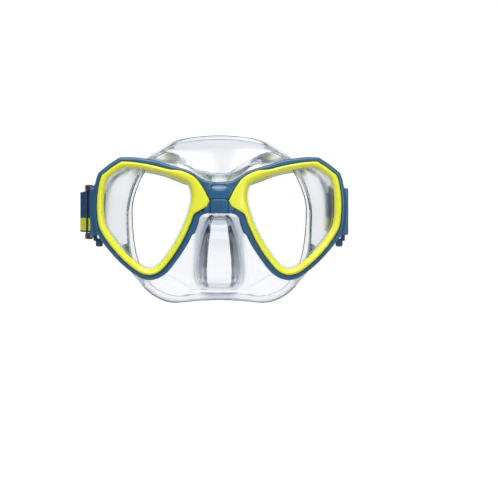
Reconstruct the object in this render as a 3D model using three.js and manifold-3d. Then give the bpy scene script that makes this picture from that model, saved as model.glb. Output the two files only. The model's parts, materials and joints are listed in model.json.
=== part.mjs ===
// Two-window diving and snorkelling mask: clear skirt, rigid frame, bezels, glass, swivel buckles, sliders and elastic strap.
// Millimetres, +Z up, +X to the wearer's left, +Y backwards into the head. The origin is the centre of the face opening.
import * as THREE from "three";
import { mergeVertices } from "three/addons/utils/BufferGeometryUtils.js";
import Module from "manifold-3d";

const wasm = await Module();
wasm.setup();

// ---- driving dimensions -------------------------------------------------
const FACE_DEPTH = 45; // from the frame's front plane back to the face mount
const LENS_X = 47.85; // lens centre from the symmetry plane
const WRAP = 0.12; // sweep-back of each half of the front, mm per mm
const GAP = 0.3; // clearance between separate pieces
const BEZEL_FRONT = -2.0,
  BEZEL_BACK = 3.2;
const FRAME_FRONT = 0.2,
  FRAME_LEDGE = 3.5,
  FRAME_BACK = 11.0;
const LENS_FRONT = 3.6,
  LENS_THICK = 3.2,
  LENS_LAP = 1.5; // glass hidden under the bezel
const SKIRT_PLATE = 11.3,
  SKIRT_T = 2.0;
const LUG = { x0: 81.0, x1: 86.4, y0: 13.7, y1: 27.0, z0: -15.5, z1: 16.0 };
const PIN = { x: 83.4, y: 30.6, r: 1.0, z0: -14.8, z1: 15.3 };
const EAR = { y1: 33.8, top: 12.4, bottom: -12.0 };
const STRAP_HALF = 14.0, // half of the webbing's width
  STRAP_T = 1.3;
const POST_U = 11.4,
  POST_R = 1.2;
const SLIDER_U0 = 18.5,
  SLIDER_L = 8.0;
const END_U = 42.0; // where the strap's end portion meets the band
const FLARE_LEFT = 17.0, // rest angles of the buckles, degrees outwards
  FLARE_RIGHT = -8.0;
const BUTTON = { x0: 82.1, x1: 84.7, y0: 21.4, y1: 25.6 };

// ---- outlines around a lens centre: [angle, radius]; 0 is towards the bridge, 90 is up --------
const OPENING = [
  [0, 27.4], [6, 28.3], [12, 29.7], [18, 30.9], [24, 31.9], [30, 32.8], [33, 33.0], [36, 32.7], [42, 31.3],
  [48, 29.9], [54, 28.9], [60, 28.1], [66, 27.6], [72, 27.3], [78, 27.2], [84, 27.4], [90, 27.8], [96, 28.4],
  [102, 29.4], [108, 30.8], [114, 32.3], [120, 33.4], [126, 33.7], [132, 33.8], [138, 34.2], [141, 34.2],
  [144, 33.7], [150, 32.4], [156, 31.2], [162, 30.3], [168, 29.6], [174, 29.1], [180, 28.8], [186, 28.7],
  [192, 28.9], [198, 29.0], [204, 28.7], [210, 28.5], [216, 28.4], [222, 28.6], [228, 28.9], [234, 29.6],
  [240, 30.3], [246, 31.3], [252, 32.7], [258, 34.2], [264, 36.1], [267, 37.1], [270, 37.6], [273, 37.8],
  [276, 37.6], [279, 36.8], [282, 35.8], [288, 33.4], [294, 31.3], [300, 29.6], [306, 28.3], [312, 27.4],
  [318, 26.6], [324, 26.1], [330, 25.8], [336, 25.7], [342, 25.8], [348, 26.1], [354, 26.6],
];
const BEZEL_EDGE = [
  [0, 31.4], [3, 33.7], [6, 37.2], [9, 41.0], [12, 42.3], [15, 41.9], [18, 41.3], [24, 40.5], [30, 39.9],
  [36, 39.2], [42, 37.7], [48, 36.2], [54, 34.4], [57, 33.3], [60, 32.3], [63, 31.6], [66, 31.3], [72, 31.1],
  [78, 31.1], [84, 31.3], [90, 31.8], [96, 32.5], [102, 33.5], [108, 35.0], [114, 36.7], [120, 37.7],
  [126, 37.8], [132, 38.0], [138, 38.5], [141, 38.8], [144, 38.5], [150, 37.1], [156, 35.9], [162, 35.0],
  [168, 34.2], [174, 33.8], [180, 33.5], [186, 33.4], [192, 33.5], [198, 33.7], [204, 33.4], [210, 33.1],
  [216, 33.0], [222, 33.2], [228, 33.5], [234, 34.1], [240, 34.9], [246, 36.1], [252, 37.4], [258, 39.1],
  [264, 41.0], [267, 41.6], [270, 41.8], [273, 41.9], [276, 41.7], [279, 41.3], [282, 40.5], [288, 38.2],
  [294, 35.9], [300, 34.1], [306, 32.7], [312, 31.5], [318, 30.7], [324, 30.1], [330, 29.8], [336, 29.6],
  [342, 29.7], [348, 30.0], [354, 30.5],
];
// outer edge of the frame's ring, from above the bridge round the temple and under the lens to the nose
const RING_EDGE = [
  [54, 36.6], [60, 35.5], [66, 34.7], [72, 34.6], [78, 34.8], [84, 34.9], [90, 35.6], [96, 36.1], [102, 37.2],
  [108, 38.6], [114, 40.1], [120, 40.7], [126, 40.8], [132, 41.1], [138, 41.3], [141, 41.7], [144, 41.3],
  [150, 40.2], [156, 38.9], [162, 38.0], [168, 37.1], [174, 36.7], [180, 36.3], [186, 36.3], [192, 36.5],
  [198, 36.7], [204, 36.6], [210, 36.5], [216, 36.1], [222, 36.2], [228, 36.5], [234, 37.0], [240, 37.9],
  [246, 39.2], [252, 40.6], [258, 42.2], [264, 44.2], [267, 44.8], [270, 45.1], [273, 45.2], [276, 45.1],
  [279, 44.8], [282, 44.2], [288, 42.6], [294, 40.3], [300, 38.1], [306, 36.7], [312, 35.6], [318, 34.7],
  [324, 34.1], [330, 33.7], [334, 33.6], [335.5, 34.9], [342, 34.6], [348, 34.5],
];
const ANGLES = BEZEL_EDGE.map((p) => p[0]);

// skirt outlines (x, z), right half from the top centre round to the bottom centre
const PLATE_EDGE = [
  [0, 17.5], [8, 18], [15, 21], [22, 25.5], [30, 28], [40, 31], [48, 32.6], [56, 33.2], [66, 32], [75, 26],
  [79, 17], [80.2, 6], [80.3, 0], [80.2, -8], [77.6, -17], [72, -22.8], [66.5, -28.8], [60.5, -34.6],
  [54.5, -39.4], [48, -41.6], [43, -42], [36, -42], [28, -46], [20, -50], [10, -52], [0, -52.4],
];
const RIM = [
  [0, 51.5, 22], [18, 50.4, 24], [29.8, 48.2, 27], [37, 45.0, 30.5], [43.4, 41.2, 35], [50.2, 35.9, 41],
  [56.7, 27, 48], [62, 16, 53], [64.7, 5.8, 55], [64.9, -12.4, 54], [63.5, -28.1, 50], [56.4, -46.2, 44],
  [45.2, -57.0, 38], [35.1, -61.3, 34], [19, -60.7, 29], [0, -59.3, 27],
];
const FACE_EDGE = [
  [0, 25.5], [10, 28], [22, 36], [32, 40], [42, 36.5], [50.9, 26.9], [56, 17], [59.5, 5], [59.6, -5],
  [58.5, -18], [55.9, -31], [50, -44], [41, -52], [32, -55.5], [19, -55.2], [0, -53.5],
];
const POLE_Z = -4;

// ---- helpers -------------------------------------------------------------
function periodic(table) {
  return (a) => {
    a = ((a % 360) + 360) % 360;
    for (let i = 0; i < table.length; i++) {
      const p = table[i],
        q = table[(i + 1) % table.length];
      const q0 = q[0] <= p[0] ? q[0] + 360 : q[0];
      const aa = a < p[0] ? a + 360 : a;
      if (aa >= p[0] && aa <= q0) {
        const t = (aa - p[0]) / (q0 - p[0]);
        return p[1] + (q[1] - p[1]) * t;
      }
    }
    return table[0][1];
  };
}
const opening = periodic(OPENING),
  bezelEdge = periodic(BEZEL_EDGE);
const at = (angle, r) => {
  const a = (angle * Math.PI) / 180;
  return [LENS_X - r * Math.cos(a), r * Math.sin(a)];
};
const outline = (radius, angles = ANGLES) => angles.map((a) => at(a, radius(a)));

function shapeOf(points) {
  let area = 0;
  points.forEach((p, i) => {
    const q = points[(i + 1) % points.length];
    area += p[0] * q[1] - q[0] * p[1];
  });
  const list = area < 0 ? [...points].reverse() : points;
  return new THREE.Shape(list.map((p) => new THREE.Vector2(p[0], p[1])));
}
function toSolid(geometry) {
  const g = geometry.clone();
  g.deleteAttribute("normal");
  g.deleteAttribute("uv");
  const m = mergeVertices(g, 1e-4);
  const solid = new wasm.Manifold(
    new wasm.Mesh({
      numProp: 3,
      vertProperties: new Float32Array(m.attributes.position.array),
      triVerts: new Uint32Array(m.index.array),
    }),
  );
  return solid;
}
function toGeometry(solid) {
  const m = solid.getMesh();
  const g = new THREE.BufferGeometry();
  const n = m.vertProperties.length / m.numProp;
  const pos = new Float32Array(n * 3);
  for (let i = 0; i < n; i++)
    for (let k = 0; k < 3; k++) pos[i * 3 + k] = m.vertProperties[i * m.numProp + k];
  g.setAttribute("position", new THREE.BufferAttribute(pos, 3));
  g.setIndex(Array.from(m.triVerts));
  return g;
}
// a slab of an (x, z) outline between two depths
function slab(points, y0, y1) {
  const g = new THREE.ExtrudeGeometry(shapeOf(points), { depth: y1 - y0, bevelEnabled: false, steps: 1 });
  g.rotateX(Math.PI / 2);
  g.translate(0, y1, 0);
  return toSolid(g);
}
function box(x0, x1, y0, y1, z0, z1) {
  const g = new THREE.BoxGeometry(x1 - x0, y1 - y0, z1 - z0);
  g.translate((x0 + x1) / 2, (y0 + y1) / 2, (z0 + z1) / 2);
  return toSolid(g);
}
function rod(x, y, r, z0, z1, sides = 16) {
  const g = new THREE.CylinderGeometry(r, r, z1 - z0, sides);
  g.rotateX(Math.PI / 2);
  g.translate(x, y, (z0 + z1) / 2);
  return toSolid(g);
}
// closed surface from rings of points; rings close on themselves, and the list of rings closes too
function loft(rings) {
  const n = rings[0].length,
    m = rings.length,
    pos = [],
    idx = [];
  rings.forEach((r) => r.forEach((p) => pos.push(...p)));
  for (let j = 0; j < m; j++)
    for (let i = 0; i < n; i++) {
      const a = j * n + i,
        b = j * n + ((i + 1) % n),
        c = ((j + 1) % m) * n + ((i + 1) % n),
        d = ((j + 1) % m) * n + i;
      idx.push(a, b, c, a, c, d);
    }
  return outward(pos, idx);
}
function outward(pos, idx) {
  let v = 0;
  const P = (i) => new THREE.Vector3(pos[3 * i], pos[3 * i + 1], pos[3 * i + 2]);
  for (let t = 0; t < idx.length; t += 3)
    v += P(idx[t]).dot(P(idx[t + 1]).cross(P(idx[t + 2])));
  if (v < 0)
    for (let t = 0; t < idx.length; t += 3) [idx[t + 1], idx[t + 2]] = [idx[t + 2], idx[t + 1]];
  const g = new THREE.BufferGeometry();
  g.setAttribute("position", new THREE.BufferAttribute(new Float32Array(pos), 3));
  g.setIndex(idx);
  return g;
}
// sweep the front back with |x|; the rim at the face keeps its own depth
function sweep(geometry, fade) {
  const p = geometry.attributes.position;
  for (let i = 0; i < p.count; i++) {
    const x = p.getX(i),
      y = p.getY(i);
    const w = fade ? Math.min(1, Math.max(0, 1 - (y - 14) / 31)) : 1;
    p.setY(i, y + WRAP * Math.abs(x) * w);
  }
  return geometry;
}
function mirrored(geometry) {
  const g = geometry.clone();
  const p = g.attributes.position;
  for (let i = 0; i < p.count; i++) p.setX(i, p.getX(i) === 0 ? 0 : -p.getX(i));
  const idx = Array.from(g.index.array);
  for (let t = 0; t < idx.length; t += 3) [idx[t + 1], idx[t + 2]] = [idx[t + 2], idx[t + 1]];
  g.setIndex(idx);
  return g;
}
const FAR = 400;
const rightOnly = (solid) => solid.subtract(box(-FAR, 0, -FAR, FAR, -FAR, FAR));

// ---- bezels --------------------------------------------------------------
const bezelProfile = [
  [0.0, 1.2], [0.3, -1.2], [0.46, BEZEL_FRONT], [0.84, BEZEL_FRONT], [1.0, -0.9], [1.0, BEZEL_BACK], [0.0, BEZEL_BACK],
];
function bezelGeometry() {
  const rings = bezelProfile.map(([s, y]) =>
    ANGLES.map((a) => {
      const A = opening(a),
        B = bezelEdge(a);
      const [x, z] = at(a, A + (B - A) * s);
      return [x, y, z];
    }),
  );
  return sweep(loft(rings));
}

// ---- lenses --------------------------------------------------------------
const lensGeometry = () =>
  sweep(toGeometry(slab(outline((a) => opening(a) + LENS_LAP), LENS_FRONT, LENS_FRONT + LENS_THICK)));

// ---- frame ---------------------------------------------------------------
const bridgeTop = [[0, 20], [4.4, 20.2], [8.4, 20.9], [14.1, 23.9], [18.2, 26.7], [22.2, 28.3]];
const bridgeBottom = [[12.8, -3.6], [10.1, -2.4], [7.4, -0.9], [0, -0.9]];
const frameOutline = [...bridgeTop, ...RING_EDGE.map(([a, r]) => at(a, r)), ...bridgeBottom];
const seatHole = (a) => Math.min(bezelEdge(a) - 0.8, opening(a) + 5.0);

let frameHalf = slab(frameOutline, FRAME_FRONT, FRAME_BACK)
  .add(slab([[0, 17.5], [5, 17.5], [9.5, 12], [9.5, 2], [7.4, -0.9], [0, -0.9]], -2.4, 5))
  .subtract(slab(outline((a) => bezelEdge(a) + GAP), -9, FRAME_LEDGE))
  .subtract(slab(outline(seatHole), 0, FRAME_BACK + 5))
  .subtract(box(-1, 5.9, -9, -1.2, -1.6, 8.6));
const frameRight = toGeometry(rightOnly(frameHalf));
sweep(frameRight);
let frameSolid = toSolid(frameRight).add(toSolid(mirrored(frameRight)));
// side lugs with the ears for the buckle's pin and the button's pocket
function lugSolid() {
  const c = GAP;
  return box(LUG.x0, LUG.x1, LUG.y0, LUG.y1, LUG.z0, LUG.z1)
    .add(box(LUG.x0 - 0.4, LUG.x1, LUG.y1 - 0.5, EAR.y1, EAR.top, LUG.z1))
    .add(box(LUG.x0 - 0.4, LUG.x1, LUG.y1 - 0.5, EAR.y1, LUG.z0, EAR.bottom))
    .subtract(rod(PIN.x, PIN.y, PIN.r + c, LUG.z0 - 2, LUG.z1 + 2))
    .subtract(box(BUTTON.x0 - c, BUTTON.x1 + c, BUTTON.y0 - c, BUTTON.y1 + c, LUG.z0 - 2, -2));
}
const lugRight = lugSolid();
const lugRightGeometry = toGeometry(lugRight);
frameSolid = frameSolid.add(lugRight).add(toSolid(mirrored(lugRightGeometry)));

// ---- bridge plate ----------------------------------------------------------
const plateHalf = [[0, 8.3], [4.6, 8.3], [5.6, 7.3], [5.6, 0.3], [4.6, -0.8], [0, -0.8]];
const platePoints = [...plateHalf, ...plateHalf.slice(1, -1).reverse().map(([x, z]) => [-x, z])];
const bridgePlate = new THREE.ExtrudeGeometry(shapeOf(platePoints), {
  depth: 1.2, bevelEnabled: true, bevelThickness: 0.5, bevelSize: 0.5, bevelOffset: -0.5, bevelSegments: 1,
});
bridgePlate.rotateX(Math.PI / 2);
bridgePlate.translate(0, -1.2 - GAP - 0.5, 0);

// ---- skirt -----------------------------------------------------------------
function polar(points, k) {
  const full = [...points, ...points.slice(1, -1).reverse().map((p) => [-p[0], ...p.slice(1)])];
  const list = full
    .map((p) => ({
      a: (Math.atan2(p[1] - POLE_Z, p[0]) * 180) / Math.PI,
      v: k === 2 ? p[2] : Math.hypot(p[0], p[1] - POLE_Z),
    }))
    .map((p) => ({ a: (p.a + 360) % 360, v: p.v }))
    .sort((p, q) => p.a - q.a);
  const n = list.length;
  // cubic through the points, periodic in angle
  return (a) => {
    a = ((a % 360) + 360) % 360;
    let i = list.findIndex((p) => p.a > a);
    i = i < 0 ? n - 1 : i - 1;
    const g = (j) => {
      const m = ((j % n) + n) % n;
      return { a: list[m].a + 360 * Math.floor(j / n), v: list[m].v };
    };
    if (i < 0 && a < list[0].a) i = -1;
    const p0 = g(i - 1),
      p1 = g(i),
      p2 = g(i + 1),
      p3 = g(i + 2);
    const t = (a - p1.a) / (p2.a - p1.a);
    const m1 = ((p2.v - p0.v) / (p2.a - p0.a)) * (p2.a - p1.a),
      m2 = ((p3.v - p1.v) / (p3.a - p1.a)) * (p2.a - p1.a);
    const t2 = t * t,
      t3 = t2 * t;
    return (2 * t3 - 3 * t2 + 1) * p1.v + (t3 - 2 * t2 + t) * m1 + (-2 * t3 + 3 * t2) * p2.v + (t3 - t2) * m2;
  };
}
const plateR = polar(PLATE_EDGE),
  rimR = polar(RIM),
  rimD = polar(RIM, 2),
  faceR = polar(FACE_EDGE);
const RAYS = 72;
const wallProfile = (a) => {
  const F = plateR(a),
    R = rimR(a),
    D = rimD(a),
    O = Math.min(faceR(a), R - 4);
  const T = SKIRT_T,
    P = SKIRT_PLATE;
  const mid = F + (R - F) * 0.42 + 2.0,
    midY = P + (D - P) * 0.45;
  return [
    [F - 9, P], [F - 1.2, P], [F, P + 1.2], [mid, midY], [R - 0.3, D - 3.5], [R, D - 1.4], [R - 1.0, D],
    [(R + O) / 2, D - 0.6], [O, D - 2.2], [O, D - 3.4], [(R + O) / 2, D - 2.4], [R - 2.4, D - 4.2],
    [mid - T, midY - 0.3], [F - T - 0.6, P + T + 0.8], [F - T - 1.6, P + T], [F - 9, P + T],
  ];
};
const wallRings = [];
for (let j = 0; j < 16; j++) wallRings.push([]);
for (let i = 0; i < RAYS; i++) {
  const a = (i * 360) / RAYS + 2.5,
    c = Math.cos((a * Math.PI) / 180),
    s = Math.sin((a * Math.PI) / 180);
  wallProfile(a).forEach(([r, y], j) => wallRings[j].push([r * c, y, POLE_Z + r * s]));
}
const wall = toSolid(loft(wallRings));

// nose pocket: height of the front plate's bulge towards the viewer
const bump = (x, z, inset) => {
  const zz = [[-1, 0], [-4, 6.5], [-10, 11], [-18, 15], [-28, 18], [-38, 18.6], [-44, 17], [-48, 12.5], [-50.5, 5], [-51.5, 0]];
  const ww = [[-1, 7.5], [-6, 11.0], [-14, 13.6], [-22, 15.8], [-30, 17.6], [-40, 18.2], [-48, 17.4], [-51.5, 15]];
  const look = (t, v) => {
    if (v >= t[0][0]) return t[0][1];
    for (let i = 0; i < t.length - 1; i++)
      if (v <= t[i][0] && v >= t[i + 1][0])
        return t[i][1] + ((t[i + 1][1] - t[i][1]) * (v - t[i][0])) / (t[i + 1][0] - t[i][0]);
    return t[t.length - 1][1];
  };
  const zi = z + inset * 0.9 * Math.max(-1, Math.min(1, (z + 25) / 12));
  const H = look(zz, zi),
    W = look(ww, zi) - inset;
  const u = Math.abs(x) / W;
  if (u >= 1) return 0;
  const f = u < 0.48 ? 1 : 0.5 + 0.5 * Math.cos(((u - 0.48) / 0.52) * Math.PI);
  return H * f;
};
function noseField(inset, lift, back) {
  const xs = [],
    zs = [];
  for (let i = 0; i <= 12; i++) xs.push(i * 1.8);
  for (let j = 0; j <= 22; j++) zs.push(-51.4 + j * 2.29);
  const nx = xs.length,
    nz = zs.length,
    pos = [],
    idx = [];
  for (const layer of [0, 1])
    for (const z of zs)
      for (const x of xs) {
        const h = bump(x, z, inset);
        pos.push(x, layer ? back : lift - h, z);
      }
  const id = (l, i, j) => l * nx * nz + j * nx + i;
  const quad = (a, b, c, d) => idx.push(a, b, c, a, c, d);
  for (let j = 0; j < nz - 1; j++)
    for (let i = 0; i < nx - 1; i++) {
      quad(id(0, i, j), id(0, i + 1, j), id(0, i + 1, j + 1), id(0, i, j + 1));
      quad(id(1, i, j), id(1, i, j + 1), id(1, i + 1, j + 1), id(1, i + 1, j));
    }
  for (let i = 0; i < nx - 1; i++) {
    quad(id(0, i, 0), id(1, i, 0), id(1, i + 1, 0), id(0, i + 1, 0));
    quad(id(0, i, nz - 1), id(0, i + 1, nz - 1), id(1, i + 1, nz - 1), id(1, i, nz - 1));
  }
  for (let j = 0; j < nz - 1; j++) {
    quad(id(0, 0, j), id(0, 0, j + 1), id(1, 0, j + 1), id(1, 0, j));
    quad(id(0, nx - 1, j), id(1, nx - 1, j), id(1, nx - 1, j + 1), id(0, nx - 1, j + 1));
  }
  return toSolid(outward(pos, idx));
}
const collar = (a) => Math.min(bezelEdge(a) - 1.1, opening(a) + 4.7);
const seatFront = BEZEL_BACK + 0.5;
let skirtHalf = wall
  .add(slab([...PLATE_EDGE.map(([x, z]) => [x * 0.97, POLE_Z + (z - POLE_Z) * 0.97])], SKIRT_PLATE, SKIRT_PLATE + SKIRT_T))
  .add(slab(outline(collar), seatFront, SKIRT_PLATE + SKIRT_T))
  .add(noseField(0, SKIRT_PLATE, SKIRT_PLATE + SKIRT_T))
  .subtract(noseField(1.9, SKIRT_PLATE + SKIRT_T + 0.15, SKIRT_PLATE + SKIRT_T + 4))
  .subtract(slab(outline((a) => opening(a) + LENS_LAP + GAP), 0, LENS_FRONT + LENS_THICK + GAP))
  .subtract(slab(outline((a) => opening(a) - 0.8), 0, SKIRT_PLATE + SKIRT_T + 0.7));
const skirtRight = toGeometry(rightOnly(skirtHalf));
sweep(skirtRight, true);
const skirtSolid = toSolid(skirtRight).add(toSolid(mirrored(skirtRight)));

// ---- buckle assembly, built for the right side around its pin, pointing straight back ---------
// local axes: x outwards (v), y backwards (u), z up; the pin is at the local origin
function buckleSolid() {
  const z0 = -11.7,
    z1 = 12.0;
  const side = 17.4;
  return rod(0, 0, 2.7, z0, z1, 24)
    .add(box(-1.5, 1.5, 1.5, 6, z0, z1))
    .add(box(-1.6, 1.6, 4.7, 7, -side, side))
    .add(box(-1.6, 1.6, 6.5, POST_U + 1.3, 14.4, side))
    .add(box(-1.6, 1.6, 6.5, POST_U + 1.3, -side, -14.4))
    .add(rod(0, POST_U, POST_R, -15, 15, 12))
    .subtract(rod(0, 0, PIN.r + GAP, z0 - 2, z1 + 2, 16));
}
function sliderSolid() {
  const a = SLIDER_U0,
    b = SLIDER_U0 + SLIDER_L,
    m = (a + b) / 2;
  return box(-2.1, 2.1, a, b, 14.4, 18.8)
    .add(box(-2.1, 2.1, a, b, -18.8, -14.4))
    .add(box(-2.1, -1.0, a, a + 2.0, -15, 15))
    .add(box(-2.1, -1.0, b - 2.0, b, -15, 15))
    .add(box(1.0, 2.1, m - 1.0, m + 1.0, -15, 15));
}
function strapEndSolid() {
  return rod(0, POST_U, 2.85, -STRAP_HALF, STRAP_HALF, 20)
    .add(box(-STRAP_T / 2, STRAP_T / 2, POST_U + 2, END_U, -STRAP_HALF, STRAP_HALF))
    .subtract(rod(0, POST_U, POST_R + 0.4, -STRAP_HALF - 1, STRAP_HALF + 1, 16));
}

// ---- strap band ------------------------------------------------------------
const rad = (d) => (d * Math.PI) / 180;
const endPoint = (side, flare, u) => [
  side * (PIN.x + u * Math.sin(rad(flare))),
  PIN.y + u * Math.cos(rad(flare)),
];
const startL = endPoint(-1, FLARE_LEFT, END_U + GAP),
  startL2 = endPoint(-1, FLARE_LEFT, END_U + 6),
  startR = endPoint(1, FLARE_RIGHT, END_U + GAP),
  startR2 = endPoint(1, FLARE_RIGHT, END_U + 6);
// x, depth, height, lean of the upper edge towards the head in degrees
const STRAP_PATH = [
  [...startL, 0, 0], [...endPoint(-1, FLARE_LEFT, END_U + 3), 0, 0], [...startL2, 0, 0], [-96.2, 86, 0.6, 2],
  [-92.6, 96, 3.2, 6], [-89.4, 106, 9.5, 14], [-87.2, 117, 19, 26], [-82, 129, 27, 44], [-76, 140, 32.4, 60],
  [-67.5, 151, 35.2, 71], [-55, 160, 34.6, 76], [-38, 168, 31.2, 77], [-20, 173.5, 24, 77], [0, 175.5, 19, 77],
  [20, 173.5, 24, 77], [38, 168, 31.2, 77], [55, 160, 34.6, 76], [67.5, 151, 35.2, 71], [75.5, 141, 32.8, 60],
  [80.2, 131, 28, 45], [81.3, 121, 20, 28], [80.4, 111, 9.8, 14], [79.4, 101, 3, 5], [78.2, 90, 0.3, 1],
  [...startR2, 0, 0], [...endPoint(1, FLARE_RIGHT, END_U + 3), 0, 0], [...startR, 0, 0],
];
function strapBand() {
  const curve = new THREE.CatmullRomCurve3(
    STRAP_PATH.map(([x, y, z]) => new THREE.Vector3(x, y, z)),
    false,
    "centripetal",
  );
  const legs = STRAP_PATH.length - 1,
    N = legs * 3,
    pos = [],
    idx = [];
  for (let i = 0; i <= N; i++) {
    const t = i / N,
      k = Math.min(Math.floor(t * legs), legs - 1),
      f = t * legs - k;
    const p = curve.getPoint(t);
    const tan = curve.getTangent(t).normalize();
    if (i === 0) tan.set(startL2[0] - startL[0], startL2[1] - startL[1], 0).normalize();
    if (i === N) tan.set(startR[0] - startR2[0], startR[1] - startR2[1], 0).normalize();
    // the strap runs clockwise seen from above, so its inner side is on the right of the direction of travel
    const inner = new THREE.Vector3(tan.y, -tan.x, 0).normalize();
    const up = new THREE.Vector3().crossVectors(inner, tan).normalize();
    const lean = rad(STRAP_PATH[k][3] + (STRAP_PATH[k + 1][3] - STRAP_PATH[k][3]) * f);
    const wid = up.clone().multiplyScalar(Math.cos(lean)).addScaledVector(inner, Math.sin(lean));
    const nrm = inner.clone().multiplyScalar(Math.cos(lean)).addScaledVector(up, -Math.sin(lean));
    for (const [a, b] of [[-1, -1], [1, -1], [1, 1], [-1, 1]]) {
      const q = p.clone().addScaledVector(nrm, (a * STRAP_T) / 2).addScaledVector(wid, b * STRAP_HALF);
      pos.push(q.x, q.y, q.z);
    }
  }
  for (let i = 0; i < N; i++)
    for (let k = 0; k < 4; k++) {
      const a = i * 4 + k,
        b = i * 4 + ((k + 1) % 4),
        c = b + 4,
        d = a + 4;
      idx.push(a, b, c, a, c, d);
    }
  idx.push(0, 2, 1, 0, 3, 2);
  const e = N * 4;
  idx.push(e, e + 1, e + 2, e, e + 2, e + 3);
  return outward(pos, idx);
}

// ---- release button and its spring -------------------------------------------
const buttonSolid = box(BUTTON.x0, BUTTON.x1, BUTTON.y0, BUTTON.y1, -19.5, -9.0).add(
  box(78.4, 83.2, BUTTON.y0, BUTTON.y1, -23.4, -17.8),
).add(box(79.3, 80.6, BUTTON.y0, BUTTON.y1, -18, -15.4));
class Coil extends THREE.Curve {
  constructor(x, y, z0, z1, r, turns) {
    super();
    Object.assign(this, { x, y, z0, z1, r, turns });
  }
  getPoint(t, target = new THREE.Vector3()) {
    const a = t * this.turns * 2 * Math.PI;
    return target.set(this.x + this.r * Math.cos(a), this.y + this.r * Math.sin(a), this.z0 + (this.z1 - this.z0) * t);
  }
}
function springGeometry() {
  const x = (BUTTON.x0 + BUTTON.x1) / 2,
    y = (BUTTON.y0 + BUTTON.y1) / 2;
  const section = new THREE.Shape();
  section.absarc(0, 0, 0.2, 0, Math.PI * 2, false);
  return new THREE.ExtrudeGeometry(section, {
    steps: 56, curveSegments: 3, bevelEnabled: false, extrudePath: new Coil(x, y, -8.4, -2.6, 0.95, 4.5),
  });
}

// ---- materials ---------------------------------------------------------------
const paint = (color, roughness, metalness = 0, opacity = 1) =>
  new THREE.MeshStandardMaterial({ color, roughness, metalness, transparent: opacity < 1, opacity });
const M = {
  frame: paint(0x1d5f86, 0.35),
  bezel: paint(0xdcec1f, 0.3),
  glass: paint(0xeef6f8, 0.02, 0, 0.25),
  silicone: paint(0xe9eef0, 0.3, 0, 0.4),
  slider: paint(0x3a3a3c, 0.45),
  webbing: paint(0x1f6288, 0.85),
  steel: paint(0xb9bcc0, 0.25, 1),
};

// ---- assembly ----------------------------------------------------------------
const mask = new THREE.Group();
const front = new THREE.Group();
front.position.set(0, -FACE_DEPTH, 0);
mask.add(front);
function put(name, geometry, material, parent = front) {
  const g = geometry.clone();
  g.computeVertexNormals();
  const mesh = new THREE.Mesh(g, material);
  mesh.name = name;
  parent.add(mesh);
  return mesh;
}
put("skirt", toGeometry(skirtSolid), M.silicone);
put("frame", toGeometry(frameSolid), M.frame);
const bezelR = bezelGeometry(),
  lensR = lensGeometry();
put("bezel_left", mirrored(bezelR), M.bezel);
put("bezel_right", bezelR, M.bezel);
put("lens_left", mirrored(lensR), M.glass);
put("lens_right", lensR, M.glass);
put("bridge_plate", bridgePlate, M.frame);
put("strap_band", strapBand(), M.webbing);

for (const [side, name, flare] of [[1, "right", FLARE_RIGHT], [-1, "left", FLARE_LEFT]]) {
  const flip = (g) => (side < 0 ? mirrored(g) : g);
  const arm = new THREE.Group();
  arm.position.set(side * PIN.x, PIN.y, 0);
  arm.rotation.z = side * -rad(flare);
  front.add(arm);
  put("buckle_" + name, flip(toGeometry(buckleSolid())), M.frame, arm);
  put("slider_" + name, flip(toGeometry(sliderSolid())), M.slider, arm);
  put("strap_end_" + name, flip(toGeometry(strapEndSolid())), M.webbing, arm);
  put("hinge_pin_" + name, flip(toGeometry(rod(PIN.x, PIN.y, PIN.r, PIN.z0, PIN.z1, 16))), M.steel);
  put("release_button_" + name, flip(toGeometry(buttonSolid)), M.frame);
  const s = springGeometry();
  put("button_spring_" + name, side < 0 ? mirrored(toGeometry(toSolid(s))) : s, M.steel);
}

export default mask;
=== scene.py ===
import json
import math

import bmesh
import bpy
import numpy as np
from mathutils import Matrix, Vector

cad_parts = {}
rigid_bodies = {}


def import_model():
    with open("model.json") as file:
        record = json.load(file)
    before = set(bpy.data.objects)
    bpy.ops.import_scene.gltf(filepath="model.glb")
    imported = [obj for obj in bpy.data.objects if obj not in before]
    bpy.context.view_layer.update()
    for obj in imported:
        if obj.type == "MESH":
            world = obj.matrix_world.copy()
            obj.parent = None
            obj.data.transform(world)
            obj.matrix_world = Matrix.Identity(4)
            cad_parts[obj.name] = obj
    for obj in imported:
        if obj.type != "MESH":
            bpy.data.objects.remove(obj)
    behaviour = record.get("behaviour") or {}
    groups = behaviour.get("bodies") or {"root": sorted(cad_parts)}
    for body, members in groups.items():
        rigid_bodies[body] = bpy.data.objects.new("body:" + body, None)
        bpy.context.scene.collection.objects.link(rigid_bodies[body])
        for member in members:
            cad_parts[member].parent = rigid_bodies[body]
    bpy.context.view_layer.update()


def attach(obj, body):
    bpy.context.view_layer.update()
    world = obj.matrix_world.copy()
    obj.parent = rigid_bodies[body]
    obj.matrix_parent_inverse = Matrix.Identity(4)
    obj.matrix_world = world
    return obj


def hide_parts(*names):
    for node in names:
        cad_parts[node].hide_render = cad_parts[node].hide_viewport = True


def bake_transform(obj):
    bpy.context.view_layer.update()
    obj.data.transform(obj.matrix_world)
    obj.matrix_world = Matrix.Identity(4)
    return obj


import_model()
scene = bpy.context.scene

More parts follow.
